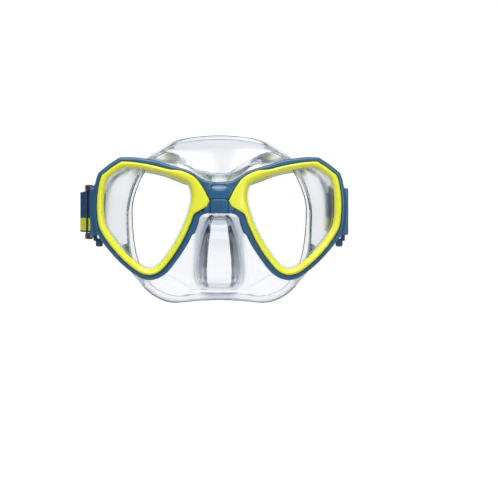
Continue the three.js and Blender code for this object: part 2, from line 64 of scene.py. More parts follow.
# ------------------------------------------------------------------ design numbers, mm
FACE_DEPTH = 45.0
LENS_X = 47.85
WRAP = 0.12
POLE_Z = -4.0
PIN_X, PIN_Y = 83.4, 30.6
FLARE = {"left": 17.0, "right": -8.0}
END_U = 42.0
STRAP_HALF, STRAP_T = 14.0, 1.3
POST_U = 11.4
OPENING = [
    [0, 27.4], [3, 27.8], [6, 28.3], [9, 29.0], [12, 29.6], [15, 30.3], [18, 30.9], [21, 31.4], [24, 31.9],
    [27, 32.4], [30, 32.8], [33, 33.2], [36, 32.8], [39, 32.2], [42, 31.4], [45, 30.6], [48, 30.0], [51, 29.4],
    [54, 28.9], [57, 28.5], [60, 28.1], [63, 27.8], [66, 27.6], [69, 27.4], [72, 27.3], [75, 27.2], [78, 27.2],
    [81, 27.3], [84, 27.4], [87, 27.6], [90, 27.8], [93, 28.1], [96, 28.5], [99, 28.9], [102, 29.5], [105, 30.1],
    [108, 30.8], [111, 31.5], [114, 32.3], [117, 32.9], [120, 33.5], [123, 33.6], [126, 33.7], [129, 33.7],
    [132, 33.9], [135, 34.0], [138, 34.2], [141, 34.2], [144, 33.6], [147, 33.0], [150, 32.4], [153, 31.8],
    [156, 31.3], [159, 30.8], [162, 30.3], [165, 29.9], [168, 29.6], [171, 29.3], [174, 29.1], [177, 29.0],
    [180, 28.9], [183, 28.8], [186, 28.8], [189, 28.8], [192, 28.9], [195, 29.0], [198, 28.9], [201, 28.8],
    [204, 28.7], [207, 28.5], [210, 28.4], [213, 28.4], [216, 28.4], [219, 28.5], [222, 28.6], [225, 28.8],
    [228, 29.0], [231, 29.2], [234, 29.5], [237, 29.9], [240, 30.3], [243, 30.8], [246, 31.4], [249, 32.0],
    [252, 32.7], [255, 33.5], [258, 34.3], [261, 35.2], [264, 36.1], [267, 36.9], [270, 37.5], [273, 37.8],
    [276, 37.4], [279, 36.7], [282, 35.7], [285, 34.6], [288, 33.5], [291, 32.4], [294, 31.4], [297, 30.5],
    [300, 29.7], [303, 29.0], [306, 28.4], [309, 27.8], [312, 27.4], [315, 27.0], [318, 26.6], [321, 26.3],
    [324, 26.1], [327, 25.9], [330, 25.8], [333, 25.7], [336, 25.7], [339, 25.7], [342, 25.8], [345, 25.9],
    [348, 26.1], [351, 26.3], [354, 26.6], [357, 27.0],
]
BEZEL_EDGE = [
    [0, 32.1], [3, 33.7], [6, 37.2], [9, 41.3], [12, 42.4], [15, 41.9], [18, 41.4], [21, 40.9], [24, 40.6],
    [27, 40.3], [30, 39.9], [33, 39.6], [36, 39.1], [39, 38.5], [42, 37.7], [45, 37.0], [48, 36.2], [51, 35.4],
    [54, 34.4], [57, 33.3], [60, 32.4], [63, 31.8], [66, 31.4], [69, 31.2], [72, 31.1], [75, 31.0], [78, 31.1],
    [81, 31.1], [84, 31.3], [87, 31.5], [90, 31.8], [93, 32.1], [96, 32.5], [99, 33.0], [102, 33.6], [105, 34.3],
    [108, 35.0], [111, 35.8], [114, 36.7], [117, 37.7], [120, 37.7], [123, 37.7], [126, 37.8], [129, 37.9],
    [132, 38.0], [135, 38.2], [138, 38.5], [141, 38.9], [144, 38.4], [147, 37.8], [150, 37.1], [153, 36.5],
    [156, 35.9], [159, 35.4], [162, 35.0], [165, 34.6], [168, 34.3], [171, 34.0], [174, 33.8], [177, 33.6],
    [180, 33.5], [183, 33.4], [186, 33.4], [189, 33.5], [192, 33.5], [195, 33.6], [198, 33.6], [201, 33.5],
    [204, 33.3], [207, 33.2], [210, 33.1], [213, 33.0], [216, 33.0], [219, 33.1], [222, 33.2], [225, 33.4],
    [228, 33.5], [231, 33.8], [234, 34.2], [237, 34.5], [240, 35.0], [243, 35.5], [246, 36.1], [249, 36.7],
    [252, 37.4], [255, 38.2], [258, 39.1], [261, 40.0], [264, 40.8], [267, 41.4], [270, 41.7], [273, 41.9],
    [276, 41.6], [279, 41.1], [282, 40.3], [285, 39.3], [288, 38.2], [291, 37.0], [294, 36.0], [297, 35.0],
    [300, 34.2], [303, 33.4], [306, 32.7], [309, 32.1], [312, 31.5], [315, 31.1], [318, 30.7], [321, 30.4],
    [324, 30.1], [327, 29.9], [330, 29.7], [333, 29.6], [336, 29.6], [339, 29.6], [342, 29.7], [345, 29.9],
    [348, 30.1], [351, 30.3], [354, 30.6], [357, 31.1],
]
# how far the frame's ring stands outside the bezel
RING_STEP = [
    [54, 2.2], [57, 2.8], [60, 3.1], [66, 3.4], [78, 3.7], [96, 3.65], [108, 3.5], [117, 3.1], [123, 3.0], [150, 3.0],
    [198, 3.1], [210, 3.3], [225, 3.0], [246, 3.1], [264, 3.4], [276, 3.6], [282, 3.9], [288, 4.3], [294, 4.3],
    [300, 4.0], [324, 4.0], [334, 4.0], [335.5, 5.2], [342, 5.0], [348, 4.9],
]
PLATE_EDGE = [
    [0, 17.5], [8, 18], [15, 21], [22, 25.5], [30, 28], [40, 31], [48, 32.6], [56, 33.2], [66, 32], [75, 26],
    [79, 17], [80.2, 6], [80.3, 0], [80.2, -8], [77.6, -17], [72, -22.8], [66.5, -28.8], [60.5, -34.6],
    [54.5, -39.4], [48, -41.6], [43, -42], [36, -42], [28, -46], [20, -50], [10, -52], [0, -52.4],
]
RIM = [
    [0, 51.5, 22], [18, 50.4, 24], [29.8, 48.2, 27], [37, 45.0, 30.5], [43.4, 41.2, 35], [50.2, 35.9, 41],
    [56.7, 27, 48], [62, 16, 53], [64.7, 5.8, 55], [64.9, -12.4, 54], [63.5, -28.1, 50], [56.4, -46.2, 44],
    [45.2, -57.0, 38], [35.1, -61.3, 34], [19, -60.7, 29], [0, -59.3, 27],
]
FACE_EDGE = [
    [0, 25.5], [10, 28], [22, 36], [32, 40], [42, 36.5], [50.9, 26.9], [56, 17], [59.5, 5], [59.6, -5],
    [58.5, -18], [55.9, -31], [50, -44], [41, -52], [32, -55.5], [19, -55.2], [0, -53.5],
]


# ------------------------------------------------------------------ camera
cam_data = bpy.data.cameras.new("camera")
cam = bpy.data.objects.new("camera", cam_data)
scene.collection.objects.link(cam)
cam.location = (0.0, -1.145, 0.0)
cam.rotation_euler = (math.radians(90), 0, 0)
cam_data.sensor_width = 36.0
cam_data.lens = 120.0
cam_data.shift_x = 0.0616
cam_data.shift_y = -0.076
cam_data.clip_start = 0.01
cam_data.clip_end = 50
scene.camera = cam


# ------------------------------------------------------------------ maths helpers
def periodic(table):
    a = np.array([p[0] for p in table], float)
    v = np.array([p[1] for p in table], float)
    a3 = np.concatenate([a - 360, a, a + 360])
    v3 = np.concatenate([v, v, v])
    m3 = np.gradient(v3, a3)

    def f(q):
        q = np.asarray(q, float) % 360
        i = np.clip(np.searchsorted(a3, q, side="right") - 1, 0, len(a3) - 2)
        h = a3[i + 1] - a3[i]
        t = (q - a3[i]) / h
        t2, t3 = t * t, t * t * t
        return (
            (2 * t3 - 3 * t2 + 1) * v3[i]
            + (t3 - 2 * t2 + t) * h * m3[i]
            + (-2 * t3 + 3 * t2) * v3[i + 1]
            + (t3 - t2) * h * m3[i + 1]
        )

    return f


opening = periodic(OPENING)
_bezel_round = periodic(BEZEL_EDGE)
# the facetted tip beside the bridge, point to point
TIP = [
    [-6, 30.6], [-3, 31.2], [-1.4, 31.9], [0, 33.3], [2, 35.5], [4, 38.1], [5.5, 40.3], [7.5, 41.2], [9.8, 42.4], [12, 42.1],
    [15, 41.6], [18, 41.1], [21, 40.7], [24, 40.4], [30, 39.9],
]


def bezel_edge(q):
    """Outer edge of the bezel: curved, with straight facets at the tip and the two upper corners."""
    q = np.asarray(q, float) % 360
    s = (q + 180) % 360 - 180
    r = _bezel_round(q)
    r = np.where((q > 111) & (q < 150), np.interp(q, [p[0] for p in BEZEL_EDGE], [p[1] for p in BEZEL_EDGE]), r)
    return np.where((s >= -6) & (s <= 30), np.interp(s, [p[0] for p in TIP], [p[1] for p in TIP]), r)


def ring_edge(q):
    return bezel_edge(q) + np.interp(q, [p[0] for p in RING_STEP], [p[1] for p in RING_STEP])


def at(angle, r):
    a = np.radians(angle)
    return np.stack([LENS_X - r * np.cos(a), r * np.sin(a)], -1)


def sweep_back(x):
    """How far the front is swept back at x: straight on each side, rounded at the bridge."""
    ax = np.abs(x)
    return WRAP * np.where(ax < 12, ax * ax / 24 + 6, ax)


def spline(points, per=8, closed=False):
    """Centripetal Catmull-Rom through the points."""
    P = [np.array(p, float) for p in points]
    n = len(P)
    out = []
    segs = n if closed else n - 1
    for i in range(segs):
        if closed:
            p0, p1, p2, p3 = P[i - 1], P[i], P[(i + 1) % n], P[(i + 2) % n]
        else:
            p1, p2 = P[i], P[i + 1]
            p0 = P[i - 1] if i else 2 * p1 - p2
            p3 = P[i + 2] if i + 2 < n else 2 * p2 - p1
        d = [max(np.linalg.norm(b - a) ** 0.5, 1e-4) for a, b in ((p0, p1), (p1, p2), (p2, p3))]
        m1 = (p2 - p1) + d[1] * ((p1 - p0) / d[0] - (p2 - p0) / (d[0] + d[1]))
        m2 = (p2 - p1) + d[1] * ((p3 - p2) / d[2] - (p3 - p1) / (d[1] + d[2]))
        for k in range(per):
            t = k / per
            t2, t3 = t * t, t * t * t
            out.append((2 * t3 - 3 * t2 + 1) * p1 + (t3 - 2 * t2 + t) * m1 + (-2 * t3 + 3 * t2) * p2 + (t3 - t2) * m2)
    if not closed:
        out.append(P[-1])
    return np.array(out)


def polar(points, k=None):
    full = [tuple(p) for p in points] + [(-p[0],) + tuple(p[1:]) for p in points[-2:0:-1]]
    lst = sorted(
        ((math.degrees(math.atan2(p[1] - POLE_Z, p[0])) % 360, p[k] if k else math.hypot(p[0], p[1] - POLE_Z)) for p in full)
    )
    return periodic(lst)


# ------------------------------------------------------------------ mesh helpers
def new_object(name, verts, faces, scale=0.001):
    me = bpy.data.meshes.new(name)
    v = np.asarray(verts, float).copy()
    v[:, 1] -= FACE_DEPTH
    me.from_pydata((v * scale).tolist(), [], [list(map(int, f)) for f in faces])
    me.validate()
    ob = bpy.data.objects.new(name, me)
    scene.collection.objects.link(ob)
    return ob


def fix_normals(ob):
    bm = bmesh.new()
    bm.from_mesh(ob.data)
    bmesh.ops.recalc_face_normals(bm, faces=bm.faces)
    if bm.calc_volume(signed=True) < 0:
        bmesh.ops.reverse_faces(bm, faces=bm.faces)
    bm.to_mesh(ob.data)
    bm.free()
    return ob


def smooth(ob, angle=None):
    for p in ob.data.polygons:
        p.use_smooth = True
    if angle is not None:
        ob.data.set_sharp_from_angle(angle=math.radians(angle))
    return ob


def loft(name, rings, closed=True):
    """Faces between rings; each ring closes on itself. With closed=False the ends are capped."""
    m, n = len(rings), len(rings[0])
    verts = np.concatenate(rings)
    faces = []
    for j in range(m if closed else m - 1):
        for i in range(n):
            a, b = j * n + i, j * n + (i + 1) % n
            c, d = ((j + 1) % m) * n + (i + 1) % n, ((j + 1) % m) * n + i
            faces.append((a, b, c, d))
    if not closed:
        faces.append(tuple(range(n)))
        faces.append(tuple(range((m - 1) * n, m * n)))
    return fix_normals(new_object(name, verts, faces))


def normals2d(P):
    t = np.roll(P, -1, 0) - np.roll(P, 1, 0)
    t /= np.maximum(np.linalg.norm(t, axis=1, keepdims=True), 1e-9)
    nrm = np.stack([t[:, 1], -t[:, 0]], -1)
    area = 0.5 * np.sum(P[:, 0] * np.roll(P[:, 1], -1) - np.roll(P[:, 0], -1) * P[:, 1])
    return nrm if area > 0 else -nrm


def prism(name, outline, levels):
    """A capped stack of one (x, z) outline: levels are (inset, depth)."""
    P = np.asarray(outline, float)
    N = normals2d(P)
    rings = []
    for inset, y in levels:
        Q = P - N * inset
        rings.append(np.stack([Q[:, 0], np.full(len(Q), y), Q[:, 1]], -1))
    return loft(name, rings, closed=False)


def flipped(ob, name):
    me = ob.data.copy()
    me.transform(Matrix.Scale(-1, 4, (1, 0, 0)))
    me.flip_normals()
    o = bpy.data.objects.new(name, me)
    scene.collection.objects.link(o)
    return o


def boolean(ob, other, op):
    mod = ob.modifiers.new("b", "BOOLEAN")
    mod.operation = op
    mod.solver = "MANIFOLD"
    mod.object = other
    bake(ob)
    bpy.data.objects.remove(other)
    return ob


def bake(ob):
    dg = bpy.context.evaluated_depsgraph_get()
    me = bpy.data.meshes.new_from_object(ob.evaluated_get(dg))
    ob.modifiers.clear()
    old = ob.data
    ob.data = me
    bpy.data.meshes.remove(old)
    return ob


def soften_mesh(ob, voxel, rounds, factor=0.5):
    """Melts the joined solids into one moulded skin."""
    r = ob.modifiers.new("r", "REMESH")
    r.mode = "VOXEL"
    r.voxel_size = voxel / 1000
    r.use_smooth_shade = True
    s = ob.modifiers.new("s", "SMOOTH")
    s.factor = factor
    s.iterations = rounds
    bake(ob)
    return ob


def coords(ob):
    co = np.zeros(len(ob.data.vertices) * 3, np.float32)
    ob.data.vertices.foreach_get("co", co)
    return co.reshape(-1, 3).astype(float)


def set_coords(ob, co):
    ob.data.vertices.foreach_set("co", np.asarray(co, np.float32).ravel())
    ob.data.update()


def sweep(ob, fade=False):
    co = coords(ob)
    x, d = co[:, 0] * 1000, co[:, 1] * 1000 + FACE_DEPTH
    w = np.clip(1 - (d - 14) / 31, 0, 1) if fade else 1.0
    co[:, 1] += sweep_back(x) * w / 1000
    set_coords(ob, co)
    return ob


def block(name, x0, x1, y0, y1, z0, z1, r=0.0):
    """A box whose outline in (x, z) and depth edges are eased by r."""
    bm = bmesh.new()
    bmesh.ops.create_cube(bm, size=1.0)
    for v in bm.verts:
        v.co = (
            (x0 + x1) / 2 + v.co.x * (x1 - x0),
            (y0 + y1) / 2 + v.co.y * (y1 - y0),
            (z0 + z1) / 2 + v.co.z * (z1 - z0),
        )
    if r:
        bmesh.ops.bevel(bm, geom=list(bm.edges), offset=r, segments=3, profile=0.5, affect="EDGES", clamp_overlap=True)
    V = np.array([tuple(v.co) for v in bm.verts])
    bm.verts.index_update()
    F = [[v.index for v in f.verts] for f in bm.faces]
    bm.free()
    return fix_normals(new_object(name, V, F))


def cylinder(name, x, y, r, z0, z1, n=40, ease=0.0):
    a = np.linspace(0, 2 * np.pi, n, endpoint=False)
    levels = [(r - ease, z0), (r, z0 + ease), (r, z1 - ease), (r - ease, z1)] if ease else [(r, z0), (r, z1)]
    rings = [np.stack([x + q * np.cos(a), y + q * np.sin(a), np.full(n, z)], -1) for q, z in levels]
    return loft(name, rings, closed=False)


def join(name, obs):
    base = obs[0]
    for o in obs[1:]:
        boolean(base, o, "UNION")
    base.name = name
    base.data.name = name
    return base


# ------------------------------------------------------------------ materials
def srgb(r, g, b):
    return tuple(((c / 255) / 12.92 if c / 255 <= 0.04045 else (((c / 255) + 0.055) / 1.055) ** 2.4) for c in (r, g, b)) + (1.0,)


class Mat:
    def __init__(self, name):
        self.m = bpy.data.materials.new(name)
        self.m.use_nodes = True
        self.t = self.m.node_tree
        self.n = self.t.nodes
        self.p = self.n["Principled BSDF"]
        self.out = self.n["Material Output"]

    def node(self, kind, **kw):
        nd = self.n.new(kind)
        for k, v in kw.items():
            if k in nd.inputs:
                nd.inputs[k].default_value = v
            else:
                setattr(nd, k, v)
        return nd

    def link(self, a, b):
        self.t.links.new(a, b)

    def set(self, **kw):
        for k, v in kw.items():
            self.p.inputs[k.replace("_", " ")].default_value = v
        return self


def noise(m, scale, detail=3.0, rough=0.5, coord="Object"):
    tc = m.node("ShaderNodeTexCoord")
    nz = m.node("ShaderNodeTexNoise")
    nz.inputs["Scale"].default_value = scale
    nz.inputs["Detail"].default_value = detail
    nz.inputs["Roughness"].default_value = rough
    m.link(tc.outputs[coord], nz.inputs["Vector"])
    return nz


def ramp(m, src, stops):
    r = m.node("ShaderNodeValToRGB")
    el = r.color_ramp.elements
    while len(el) < len(stops):
        el.new(0.5)
    for e, (pos, col) in zip(el, stops):
        e.position = pos
        e.color = col
    m.link(src, r.inputs["Fac"])
    return r


def bump(m, height, strength, distance, normal=None):
    b = m.node("ShaderNodeBump")
    b.inputs["Strength"].default_value = strength
    b.inputs["Distance"].default_value = distance
    m.link(height, b.inputs["Height"])
    if normal is not None:
        m.link(normal, b.inputs["Normal"])
    return b


def maprange(m, src, a, b, c, d):
    r = m.node("ShaderNodeMapRange")
    for k, v in (("From Min", a), ("From Max", b), ("To Min", c), ("To Max", d)):
        r.inputs[k].default_value = v
    m.link(src, r.inputs["Value"])
    return r


def grey(v):
    return (v, v, v, 1.0)


def plastic(name, colour, dark, rough=0.32, fine=0.0, scale=900.0):
    """Moulded plastic: slow tone drift, fine sparking texture, a little unevenness in gloss."""
    m = Mat(name)
    drift = noise(m, 18.0, 2.0)
    col = ramp(m, drift.outputs["Fac"], [(0.3, dark), (0.7, colour)])
    m.link(col.outputs["Color"], m.p.inputs["Base Color"])
    grain = noise(m, scale, 4.0, 0.6)
    r = maprange(m, grain.outputs["Fac"], 0.3, 0.7, rough - 0.05, rough + 0.07)
    m.link(r.outputs["Result"], m.p.inputs["Roughness"])
    b = bump(m, grain.outputs["Fac"], 0.25, 0.00004 + fine)
    wave = noise(m, 60.0, 1.0)
    b2 = bump(m, wave.outputs["Fac"], 0.12, 0.0004, b.outputs["Normal"])
    m.link(b2.outputs["Normal"], m.p.inputs["Normal"])
    m.set(IOR=1.5)
    return m


def see_through(m, tint=(1, 1, 1, 1)):
    """Lets lamps through the clear material."""
    lp = m.node("ShaderNodeLightPath")
    tr = m.node("ShaderNodeBsdfTransparent")
    tr.inputs["Color"].default_value = tint
    mix = m.node("ShaderNodeMixShader")
    m.link(lp.outputs["Is Shadow Ray"], mix.inputs[0])
    m.link(m.p.outputs["BSDF"], mix.inputs[1])
    m.link(tr.outputs["BSDF"], mix.inputs[2])
    m.link(mix.outputs["Shader"], m.out.inputs["Surface"])


blue = plastic("blue_plastic_look", srgb(34, 86, 122), srgb(28, 76, 110), 0.30)
blue_parts = plastic("blue_small_parts_look", srgb(30, 80, 118), srgb(24, 70, 106), 0.34)
yellow = plastic("yellow_plastic_look", srgb(210, 213, 58), srgb(203, 207, 50), 0.28)
dark = plastic("grey_plastic_look", srgb(44, 45, 45), srgb(34, 35, 35), 0.45, 0.00003)

glass = Mat("lens_glass_look")
glass.set(Base_Color=(1, 1, 1, 1), Roughness=0.0, IOR=1.5, Transmission_Weight=1.0)
_smear = noise(glass, 35.0, 2.0)
_gr = maprange(glass, _smear.outputs["Fac"], 0.45, 0.75, 0.0, 0.012)
glass.link(_gr.outputs["Result"], glass.p.inputs["Roughness"])
see_through(glass)

silicone = Mat("clear_silicone_look")
silicone.set(Base_Color=(0.985, 0.988, 0.992, 1), IOR=1.41, Transmission_Weight=1.0)
_va = silicone.node("ShaderNodeVolumeAbsorption")
_va.inputs["Color"].default_value = (0.76, 0.80, 0.86, 1)
_va.inputs["Density"].default_value = 225.0
silicone.link(_va.outputs["Volume"], silicone.out.inputs["Volume"])
_n1 = noise(silicone, 45.0, 3.0)
_r1 = maprange(silicone, _n1.outputs["Fac"], 0.35, 0.65, 0.12, 0.18)
silicone.link(_r1.outputs["Result"], silicone.p.inputs["Roughness"])
_b1 = bump(silicone, _n1.outputs["Fac"], 0.15, 0.0006)
_n2 = noise(silicone, 700.0, 3.0)
_b2 = bump(silicone, _n2.outputs["Fac"], 0.10, 0.00004, _b1.outputs["Normal"])
silicone.link(_b2.outputs["Normal"], silicone.p.inputs["Normal"])
see_through(silicone, (0.96, 0.97, 0.98, 1))


def painted_nose_shade(m):
    """Painted shade: the nose pocket's base colour is darkened under the bridge and down its two flanks, in place of
    the shadow under the bridge and the shading of the flanks.
    """
    tc = m.node("ShaderNodeTexCoord")
    sep = m.node("ShaderNodeSeparateXYZ")
    m.link(tc.outputs["Object"], sep.inputs["Vector"])

    def mt(op, a, b=None):
        nd = m.node("ShaderNodeMath", operation=op)
        for i, v in enumerate((a, b)):
            if isinstance(v, (int, float)):
                nd.inputs[i].default_value = v
            elif v is not None:
                m.link(v, nd.inputs[i])
        return nd.outputs[0]

    def ease(v, lo, hi):
        return maprange(m, v, lo, hi, 0.0, 1.0).outputs["Result"]

    ax = mt("ABSOLUTE", sep.outputs["X"])
    z = sep.outputs["Z"]
    xs = mt("ADD", mt("ADD", ax, mt("MULTIPLY", z, 0.063)), 0.0006)
    below = ease(z, -0.002, -0.005)
    # painted shadow under the bridge, fading out downwards
    top = mt("MULTIPLY", mt("MULTIPLY", ease(z, -0.030, -0.007), ease(ax, 0.0175, 0.0135)), below)
    # painted shade down the two flanks of the nose pocket
    painted_flank_shade = mt("MULTIPLY", mt("MULTIPLY", ease(xs, 0.0075, 0.0100), ease(xs, 0.0175, 0.0145)), mt("MULTIPLY", ease(z, -0.049, -0.036), below))
    total = mt("MINIMUM", mt("ADD", mt("MULTIPLY", top, 0.8), mt("MULTIPLY", painted_flank_shade, 0.75)), 1.0)
    # painted shade colour: the clear silicone's base colour turns grey-blue where the masks are high
    r = ramp(m, total, [(0.0, (0.985, 0.988, 0.992, 1)), (1.0, (0.62, 0.655, 0.70, 1))])
    m.link(r.outputs["Color"], m.p.inputs["Base Color"])


# painted shade on the nose pocket of the clear silicone
painted_nose_shade(silicone)

steel = Mat("steel_look")
steel.set(Metallic=1.0)
_sn = noise(steel, 400.0, 4.0)
_sc = ramp(steel, _sn.outputs["Fac"], [(0.3, grey(0.45)), (0.7, grey(0.62))])
steel.link(_sc.outputs["Color"], steel.p.inputs["Base Color"])
_sr = maprange(steel, _sn.outputs["Fac"], 0.3, 0.7, 0.2, 0.34)
steel.link(_sr.outputs["Result"], steel.p.inputs["Roughness"])


def webbing_material():
    """Woven elastic: lengthwise rubber cords with cross picks, blue with a yellow lower stripe, in strap millimetres by UV."""
    m = Mat("webbing_look")
    uv = m.node("ShaderNodeUVMap", uv_map="strap")
    sep = m.node("ShaderNodeSeparateXYZ")
    m.link(uv.outputs["UV"], sep.inputs["Vector"])
    along, across = sep.outputs["X"], sep.outputs["Y"]  # millimetres

    def math_node(op, a, b=None, c=None):
        nd = m.node("ShaderNodeMath", operation=op)
        for i, v in enumerate((a, b, c)):
            if v is None:
                continue
            if isinstance(v, (int, float)):
                nd.inputs[i].default_value = v
            else:
                m.link(v, nd.inputs[i])
        return nd.outputs[0]

    # stripe: yellow below -4.5 mm, with a thin blue edge again at the bottom hem
    edge = math_node("MULTIPLY", noise(m, 900.0).outputs["Fac"], 0.5)
    y = math_node("ADD", across, edge)
    band = math_node("MULTIPLY", math_node("LESS_THAN", y, -3.9), math_node("GREATER_THAN", y, -12.6))
    mix = m.node("ShaderNodeMix", data_type="RGBA")
    m.link(band, mix.inputs["Factor"])
    nz = noise(m, 260.0, 3.0)
    cb = ramp(m, nz.outputs["Fac"], [(0.3, srgb(4, 58, 110)), (0.7, srgb(12, 74, 130))])
    cy = ramp(m, nz.outputs["Fac"], [(0.3, srgb(200, 212, 44)), (0.7, srgb(224, 234, 66))])
    m.link(cb.outputs["Color"], mix.inputs["A"])
    m.link(cy.outputs["Color"], mix.inputs["B"])
    # weave: cords 1.15 mm apart across, picks 0.85 mm apart along, every other cord shifted half a pick
    cord = math_node("SINE", math_node("MULTIPLY", across, 2 * math.pi / 1.15))
    half = math_node("MULTIPLY", math_node("GREATER_THAN", cord, 0.0), math.pi)
    pick = math_node("SINE", math_node("ADD", math_node("MULTIPLY", along, 2 * math.pi / 0.85), half))
    h = math_node("ADD", math_node("MULTIPLY", math_node("ABSOLUTE", cord), 0.6), math_node("MULTIPLY", pick, 0.4))
    # painted shade and highlight: the base colour is darkened in the grooves between cords and lightened on their
    # crowns; the bump below gives the real relief
    shade = maprange(m, h, -0.4, 1.0, 0.62, 1.08)
    mul = m.node("ShaderNodeMix", data_type="RGBA", blend_type="MULTIPLY")
    mul.inputs["Factor"].default_value = 1.0
    comb = m.node("ShaderNodeCombineColor")
    for k in ("Red", "Green", "Blue"):
        m.link(shade.outputs["Result"], comb.inputs[k])
    m.link(mix.outputs["Result"], mul.inputs["A"])
    m.link(comb.outputs["Color"], mul.inputs["B"])
    m.link(mul.outputs["Result"], m.p.inputs["Base Color"])
    b = bump(m, h, 0.6, 0.00018)
    m.link(b.outputs["Normal"], m.p.inputs["Normal"])
    r = maprange(m, h, -0.4, 1.0, 0.9, 0.68)
    m.link(r.outputs["Result"], m.p.inputs["Roughness"])
    m.set(Specular_IOR_Level=0.15)
    return m


webbing = webbing_material()


def dress(ob, mat):
    ob.data.materials.clear()
    ob.data.materials.append(mat.m)
    return ob


# ------------------------------------------------------------------ bezels
def make_bezel():
    ang = np.arange(0, 360, 1.5)
    ang = np.unique(np.concatenate([ang, np.arange(0, 24, 0.5)]))
    A, B = opening(ang), bezel_edge(ang)
    w = B - A
    # (share of the width, fixed mm from the inner edge, depth)
    prof = []
    lip = [(0.0, 1.2), (0.15, 0.5), (0.9, -0.6), (1.7, -1.3), (2.4, -1.75), (3.0, -1.98)]
    fit = np.minimum(1.0, (w - 1.4) / 3.0)
    for mm, y in lip:
        prof.append(("in", mm * fit, y))
    prof += [("share", 0.7, -2.02)]
    for mm, y in [(1.1, -1.95), (0.55, -1.7), (0.18, -1.2), (0.02, -0.6), (0.0, 0.2), (0.0, 3.2)]:
        prof.append(("out", mm, y))
    prof += [("in", 0.0, 3.2)]
    rings = []
    for kind, q, y in prof:
        if kind == "in":
            r = A + q
        elif kind == "out":
            r = B - q
        else:
            r = A + 3.0 * fit + (B - 1.1 - A - 3.0 * fit) * q
        p = at(ang, r)
        rings.append(np.stack([p[:, 0], np.full(len(ang), y), p[:, 1]], -1))
    ob = loft("bezel_ring_right", rings)
    sweep(ob)
    return smooth(ob, 50)


bz = make_bezel()
dress(bz, yellow)
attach(bz, "mask"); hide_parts("bezel_right")
bz2 = flipped(bz, "bezel_ring_left")
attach(bz2, "mask"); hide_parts("bezel_left")


# ------------------------------------------------------------------ lenses
def make_lens():
    ang = np.arange(0, 360, 1.5)
    P = at(ang, opening(ang) + 1.5)
    ob = prism("lens_glass_right", P[::-1], [(0.35, 3.6), (0, 3.95), (0, 6.45), (0.35, 6.8)])
    sweep(ob)
    return smooth(ob, 30)


ln = make_lens()
dress(ln, glass)
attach(ln, "mask"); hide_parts("lens_right")
ln2 = flipped(ln, "lens_glass_left")
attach(ln2, "mask"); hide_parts("lens_left")

# ------------------------------------------------------------------ frame
BRIDGE_TOP = [(0, 20), (4.4, 20.2), (8.4, 20.9), (14.1, 23.9), (18.2, 26.7), (22.2, 28.3), (26.3, 29.6)]
BRIDGE_BOTTOM = [(13.7, -7.0), (12.8, -3.6), (10.4, -1.7), (7.4, -0.9), (0, -0.9)]


def frame_outline():
    top = spline([(-4.4, 20.2)] + BRIDGE_TOP + [(30.1, 30.7)], 6)[6:-6]
    ring = at(np.arange(60, 347, 1.5), ring_edge(np.arange(60, 347, 1.5)))
    bottom = spline([tuple(at(342.0, ring_edge(342.0)))] + BRIDGE_BOTTOM + [(-7.4, -0.9)], 6)[6:-6]
    half = np.concatenate([top[:-1], ring, bottom])
    mirror = half[1:-1][::-1] * np.array([-1, 1])
    return np.concatenate([half, mirror])


def make_frame():
    ang = np.concatenate([np.arange(0, 24, 0.75), np.arange(24, 360, 1.5)])
    body = prism("frame_shell", frame_outline(), [(1.5, 0.2), (0.55, 0.75), (0, 1.9), (0, 9.8), (0.5, 10.7), (0.9, 11.0)])
    boss_half = spline([(0, 18.6), (5.2, 18.4), (8.6, 15.0), (9.6, 10.5), (9.4, 5.0), (10.2, 1.2), (8.0, -0.7), (0, -0.9)], 5)
    boss = prism("boss", np.concatenate([boss_half, boss_half[1:-1][::-1] * np.array([-1, 1])]),
                 [(1.3, -2.35), (0.4, -1.9), (0, -1.0), (0, 5.0)])
    boolean(body, boss, "UNION")
    for s in (1, -1):
        pocket = prism("pocket", at(ang, bezel_edge(ang) + 0.28) * np.array([s, 1]), [(0, -9), (0, 3.5)])
        boolean(body, pocket, "DIFFERENCE")
        seat = prism("seat", at(ang, np.minimum(bezel_edge(ang) - 0.8, opening(ang) + 5.0)) * np.array([s, 1]), [(0, 1), (0, 16)])
        boolean(body, seat, "DIFFERENCE")
    # recess for the bridge plate and the shallow thumb dish above it
    boolean(body, block("cut", -5.9, 5.9, -9, -1.2, -1.6, 8.6), "DIFFERENCE")
    ct, st = math.cos(math.radians(33)), math.sin(math.radians(33))
    th = np.linspace(0, 2 * np.pi, 64, endpoint=False)
    rings = []
    for t, n in [(1.05, -5.0), (1.02, 0.0), (0.94, 0.12), (0.75, 0.24), (0.45, 0.34), (0.12, 0.38)]:
        p, q = 5.6 * t * np.cos(th), 2.5 * t * np.sin(th)
        rings.append(np.stack([p, -1.05 + q * st + n * ct, 16.3 + q * ct - n * st], -1))
    boolean(body, loft("dish", rings, closed=False), "DIFFERENCE")
    # side lugs with the ears of the hinge
    g = float(sweep_back(83.7))
    for s in (1, -1):
        def bx(x0, x1, y0, y1, z0, z1, r=0.6):
            return block("lug", min(s * x0, s * x1), max(s * x0, s * x1), y0 - g, y1 - g, z0, z1, r)
        boolean(body, bx(80.9, 86.4, 13.6, 27.0, -15.5, 16.0, 1.0), "UNION")
        boolean(body, bx(80.6, 86.4, 26.0, 33.8, 12.4, 16.0, 0.7), "UNION")
        boolean(body, bx(80.6, 86.4, 26.0, 33.8, -15.5, -12.0, 0.7), "UNION")
        boolean(body, cylinder("hole", s * PIN_X, PIN_Y - g, 1.3, -18, 18), "DIFFERENCE")
        boolean(body, bx(81.8, 85.0, 21.1, 25.9, -18, -2.0, 0), "DIFFERENCE")
        # three shallow grip lines on the lug's outer face
        for k in (-6.0, 0.3, 6.6):
            boolean(body, bx(86.05, 87.5, 15.5, 25.0, k - 0.5, k + 0.5, 0), "DIFFERENCE")
    soften_mesh(body, 0.36, 4, 0.5)
    sweep(body)
    body.name = "frame_shell"
    return smooth(body)


fr = make_frame()
dress(fr, blue)
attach(fr, "mask"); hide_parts("frame")


